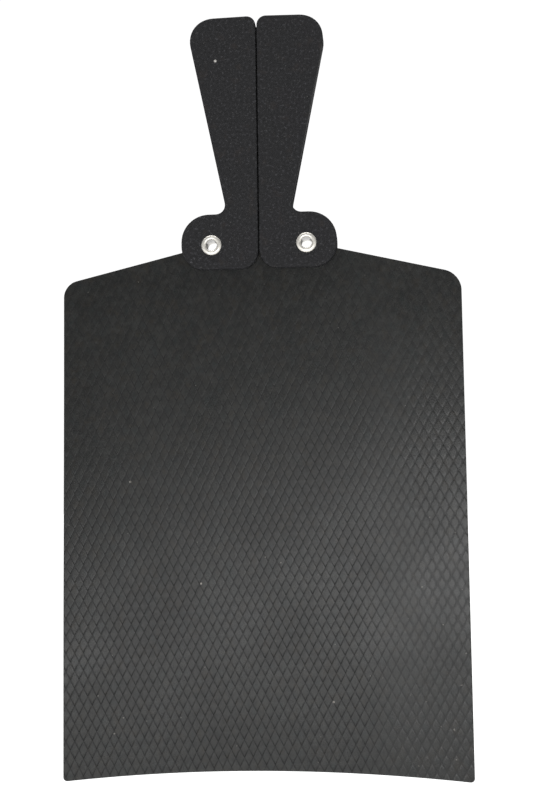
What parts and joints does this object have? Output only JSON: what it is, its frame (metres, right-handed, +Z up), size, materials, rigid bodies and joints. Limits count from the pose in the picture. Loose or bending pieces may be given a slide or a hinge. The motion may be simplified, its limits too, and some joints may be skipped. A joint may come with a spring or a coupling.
{
  "type": "kick paddle",
  "caption": "Hand-held kick paddle: a flexible embossed rubber leaf clamped in a flared two-sided handle by hollow eyelets.",
  "frame": {"origin": "middle of the handle, where the hand closes round it, on the mid-plane of the sheet", "axes": "+Z up along the handle away from the leaf, -Y out of the embossed front, +X to the right seen from the front"},
  "size_m": [0.205, 0.013, 0.3909],
  "materials": {
    "leaf_rubber": "satin embossed",
    "ply_cloth": "woven ply",
    "grip_rubber": "matte grained",
    "stiffener_plastic": "plain",
    "nickel": "bright nickel plate"
  },
  "bodies": {
    "handle": {"grip_front_left": "grip_rubber", "grip_front_right": "grip_rubber", "grip_back_left": "grip_rubber", "grip_back_right": "grip_rubber", "handle_stiffener": "stiffener_plastic", "eyelet_left": "nickel", "eyelet_right": "nickel", "washer_left": "nickel", "washer_right": "nickel", "tongue_face": "leaf_rubber", "tongue_ply": "ply_cloth", "tongue_backing": "leaf_rubber"},
    "leaf": {"leaf_face": "leaf_rubber", "leaf_ply": "ply_cloth", "leaf_backing": "leaf_rubber"}
  },
  "joints": [
    {"name": "leaf_flex", "type": "hinge", "parent": "handle", "child": "leaf", "pos_m": [0, 0, -0.0843], "axis": [1, 0, 0], "range_deg": [-60, 60], "stiffness_Nm_per_rad": 0.5}
  ]
}
